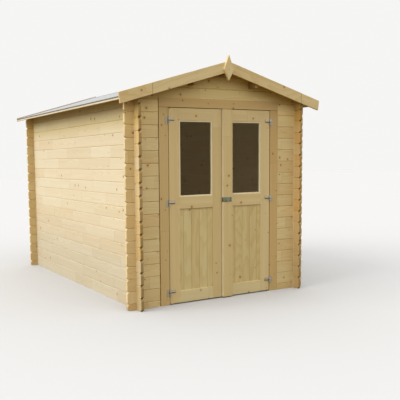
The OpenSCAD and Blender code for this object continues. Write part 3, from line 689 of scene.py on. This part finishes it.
door_mid = (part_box("left_door_stiles")[0].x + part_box("right_door_stiles")[1].x) / 2
# The posts carry a dark joint with painted shadow at their top, under the head.
post_wood = timber("post_wood", Z, X, Y, mirror=0, middle=door_mid, face=1.3, stick=1.15, knots=0.20, number=320.0,
                   early=(0.64, 0.46, 0.205, 1.0), late=(0.51, 0.33, 0.11, 1.0), shaded_seam=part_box("door_head")[0].z)
head_wood = timber("head_wood", X, Z, Y, face=1.3, stick=6.0, knots=0.22, number=340.0,
                   early=(0.66, 0.46, 0.20, 1.0), late=(0.55, 0.36, 0.12, 1.0))
finish_pieces(["door_post_left", "door_post_right"], post_wood, 0.0012)
finish_pieces(["door_head"], head_wood, 0.0012)


# ---- Door leaves -----------------------------------------------------------
# Each leaf is a framed half-glazed door: stiles, three rails, a panel of upright boards
# below, and a pane held by beads above. The right leaf carries a cover strip.

leaf_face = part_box("right_door_stiles")[0].y
meeting = (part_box("left_door_stiles")[1].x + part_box("right_door_stiles")[0].x) / 2
# Painted light: the stiles and the cover strip are made pale on their edges at the meeting gap.
stile_wood = timber("stile_wood", Z, X, Y, board=0.29, face=leaf_face, stick=2.6, knots=0.16, number=360.0,
                    gap_light_edge=meeting, early=(0.73, 0.58, 0.30, 1.0))
rail_wood = timber("rail_wood", X, Z, Y, board=0.5, face=leaf_face, stick=2.6, knots=0.16, number=380.0,
                   early=(0.77, 0.65, 0.36, 1.0))
panel_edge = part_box("right_door_panel")[1].x
panel_board = 0.088
panel_wood = timber("panel_wood", Z, X, Y, mirror=0, middle=door_mid, board=panel_board,
                    first=panel_edge - door_mid - panel_board / 2, face=1.41, stick=2.6, knots=0.14, joint=0.25,
                    joint_w=0.002, number=400.0, early=(0.70, 0.57, 0.28, 1.0), late=(0.56, 0.39, 0.15, 1.0))
cover_wood = timber("cover_wood", Z, X, Y, board=0.5, face=leaf_face - 0.02, stick=2.6, knots=0.16, number=440.0,
                    gap_light_edge=meeting)
bead_wood = timber("bead_wood", Z, X, Y, board=0.05, face=leaf_face, stick=2.6, knots=0.0, number=460.0,
                   early=(0.89, 0.80, 0.56, 1.0), late=(0.80, 0.68, 0.43, 1.0))
for leaf in ("left_door_", "right_door_"):
    finish_pieces([leaf + "stiles"], stile_wood, 0.0012)
    finish_pieces([leaf + "rails"], rail_wood, 0.0012)
    finish_pieces([leaf + "panel"], panel_wood)
    finish_pieces([leaf + "beads"], bead_wood, 0.001)
finish_pieces(["right_door_cover"], cover_wood, 0.0025, 3)

bead_pin = turned([(0.0011, 0.0), (0.0011, 0.0001), (0.0007, 0.0002)], 8)
half_bead = 0.0065
for leaf in ("left_door", "right_door"):
    low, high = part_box(leaf + "_beads")
    spots = [(x, low.y, z) for x in (low.x + half_bead, high.x - half_bead)
             for z in rows(low.z + 0.05, high.z - 0.05, 0.15)]
    spots += [(x, low.y, z) for z in (low.z + half_bead, high.z - half_bead)
              for x in rows(low.x + 0.05, high.x - 0.05, 0.13)]
    fasten(leaf + "_bead_pins", bead_pin, spots, to_front, leaf, zinc)


# ---- Glass -----------------------------------------------------------------
# One pane of clear 4 mm float glass to a leaf, held in its rebate by the beads. It looks
# dark, as little light gets into the shed; its brown colour is painted shade and the brown tint of its reflections a
# painted dark reflection.

pane = bpy.data.materials.new("float_glass")
pane.use_nodes = True
pane_shader = pane.node_tree.nodes["Principled BSDF"]
pane_shader.inputs["Base Color"].default_value = (0.93, 0.86, 0.66, 1.0)
pane_shader.inputs["Roughness"].default_value = 0.02
pane_shader.inputs["IOR"].default_value = 1.40
pane_shader.inputs["Specular Tint"].default_value = (1.0, 0.72, 0.36, 1.0)
pane_shader.inputs["Transmission Weight"].default_value = 1.0
finish_pieces(["left_door_glass", "right_door_glass"], pane)


# ---- Hinges ----------------------------------------------------------------
# Pressed zinc-plated lift-off hinges, three to a leaf, with a strap on the leaf and a
# plate with the pin on the post, all held by cross-head screws.

hasp_low, hasp_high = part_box("lock_plate")
hasp_mid = (hasp_low.z + hasp_high.z) / 2
strap_low, strap_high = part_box("left_door_straps")
half_strap = 0.0145
# Painted shade along the lower edges of the straps, where their shadow falls.
strap_zinc = make_zinc("strap_zinc", (0.60, 0.54, 0.41, 1.0), (0.30, 0.26, 0.18, 1.0), low_w=0.006,
                       low_edges=(strap_low.z, hasp_mid - half_strap, strap_high.z - 2 * half_strap))
finish_pieces(["hinge_plates_left", "hinge_plates_right"], zinc, 0.0004)
finish_pieces(["left_door_straps", "right_door_straps"], strap_zinc, 0.0004)

hinge_screw = cross_screw(0.0030, 0.0007, 0.0018, 0.0005)
strap_face = leaf_face - 0.005
plate_face = leaf_face - 0.0025
strap_holes = ((0.008, 0.0), (0.024, 0.007), (0.036, -0.007))
plate_holes = (0.012, -0.012, -0.038)
plate_inset = 0.011
for side, leaf, plates in ((-1, "left_door", "hinge_plates_left"), (1, "right_door", "hinge_plates_right")):
    strap_low, strap_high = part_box(leaf + "_straps")
    plate_low, plate_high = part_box(plates)
    heights = (strap_low.z + half_strap, hasp_mid, strap_high.z - half_strap)
    inner = strap_high.x if side < 0 else strap_low.x
    outer = plate_low.x if side < 0 else plate_high.x
    spots = [(inner + side * across, strap_face, z + up) for z in heights for across, up in strap_holes]
    fasten(leaf + "_strap_screws", hinge_screw, spots, to_front, leaf, zinc)
    spots = [(outer - side * plate_inset, plate_face, z + up) for z in heights for up in plate_holes]
    fasten(plates + "_screws", hinge_screw, spots, to_front, "shed", zinc)


# ---- Hasp ------------------------------------------------------------------
# A pressed hasp bent round the edge of the cover strip, with its slotted flap over a
# staple. Its fixed plate is held by cross-head screws, two of them on the bent side.

# Painted shade along the lower edge of the hasp.
hasp_zinc = make_zinc("hasp_zinc", (0.28, 0.34, 0.25, 1.0), (0.10, 0.12, 0.08, 1.0), 90.0,
                      low_edges=(hasp_low.z,), low_w=0.010, shade_tone=(0.19, 0.14, 0.07, 1.0))
finish_pieces(["lock_plate"], hasp_zinc, 0.0003)
# The hasp's screws are made very dark.
dark_screw_metal = make_zinc("dark_screw_zinc", (0.16, 0.14, 0.05, 1.0), (0.07, 0.06, 0.02, 1.0))
cover_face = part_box("right_door_cover")[0].y
hasp_holes = (-0.0135, 0.0135)
side_spots = [(hasp_low.x, (cover_face + leaf_face) / 2, hasp_mid + up) for up in hasp_holes]
fasten("hasp_side_screws", hinge_screw, side_spots, to_left, "right_door", dark_screw_metal)
face_inset, hasp_plate = 0.014, 0.0015
face_spots = [(hasp_low.x + face_inset, cover_face - hasp_plate, hasp_mid + up) for up in hasp_holes]
fasten("hasp_face_screws", hinge_screw, face_spots, to_front, "right_door", dark_screw_metal)


# ---- Ground, light and camera ----------------------------------------------
# A plain pale floor under a soft sky, with one broad key lamp from the left. None of it
# belongs to the shed.

floor_mesh = bpy.data.meshes.new("floor")
reach = 40.0
floor_z = -0.001
floor_mesh.from_pydata([(-reach, -reach, floor_z), (reach, -reach, floor_z), (reach, reach, floor_z),
                        (-reach, reach, floor_z)], [], [(0, 1, 2, 3)])
floor = bpy.data.objects.new("floor", floor_mesh)
bpy.context.scene.collection.objects.link(floor)
floor_paint = bpy.data.materials.new("pale_floor")
floor_paint.use_nodes = True
floor_tree = floor_paint.node_tree
floor_shader = floor_tree.nodes["Principled BSDF"]


def in_view(tree):
    """1 for what the camera sees, straight or in metal and glass, and 0 for light on the object."""
    path = shade_node(tree, "LightPath").outputs
    seen = calc(tree, "ADD", path["Is Camera Ray"], path["Is Glossy Ray"])
    seen = calc(tree, "MINIMUM", calc(tree, "ADD", seen, path["Is Transmission Ray"]), 1.0)
    return calc(tree, "MULTIPLY", seen, calc(tree, "LESS_THAN", path["Diffuse Depth"], 0.5))


earth_glow = (0.11, 0.08, 0.03, 1.0)
pale_grey = (0.534, 0.534, 0.538, 1.0)
floor_colour = blend(floor_tree, in_view(floor_tree), earth_glow, pale_grey)
floor_tree.links.new(floor_colour, floor_shader.inputs["Base Color"])
floor_shader.inputs["Roughness"].default_value = 0.9
floor_shader.inputs["Specular IOR Level"].default_value = 0.0
floor_mesh.materials.append(floor_paint)

world = bpy.data.worlds.new("soft_sky")
world.use_nodes = True
sky = world.node_tree
sky_shader = sky.nodes["Background"]
sky_shader.inputs["Color"].default_value = (1.0, 0.995, 0.98, 1.0)
up = shade_node(sky, "SeparateXYZ", {0: shade_node(sky, "TexCoord").outputs["Generated"]}).outputs[2]
at_horizon, overhead = 0.30, 1.58
dome = ramp(sky, up, 0.0, 0.6, at_horizon, overhead)
sky_strength = blend(sky, in_view(sky), dome, (0.92, 0.92, 0.92, 1.0))
sky.links.new(sky_strength, sky_shader.inputs["Strength"])
bpy.context.scene.world = world

key_lamp = bpy.data.lights.new("key", "SUN")
key_lamp.energy = 1.85
key_lamp.angle = math.radians(46)
key_lamp.color = (1.0, 0.97, 0.92)
key = bpy.data.objects.new("key", key_lamp)
key_from = Vector((-0.90, 0.09, 0.54))
key.rotation_euler = key_from.to_track_quat("Z", "Y").to_euler()
bpy.context.scene.collection.objects.link(key)

camera_data = bpy.data.cameras.new("camera")
camera_data.sensor_width = 36.0
camera_data.lens = 54.18
camera_data.shift_x = 0.1345
camera_data.shift_y = 0.0445
camera = bpy.data.objects.new("camera", camera_data)
heading, tip, lean = math.radians(28.27), math.radians(-5.49), math.radians(-0.83)
stand = (-3.363, -6.149, 1.344)
camera.matrix_world = (
    Matrix.Translation(stand)
    @ Matrix.Rotation(-heading, 4, "Z")
    @ Matrix.Rotation(math.pi / 2 + tip, 4, "X")
    @ Matrix.Rotation(lean, 4, "Z")
)
bpy.context.scene.collection.objects.link(camera)
bpy.context.scene.camera = camera
bpy.context.scene.view_settings.view_transform = "Standard"
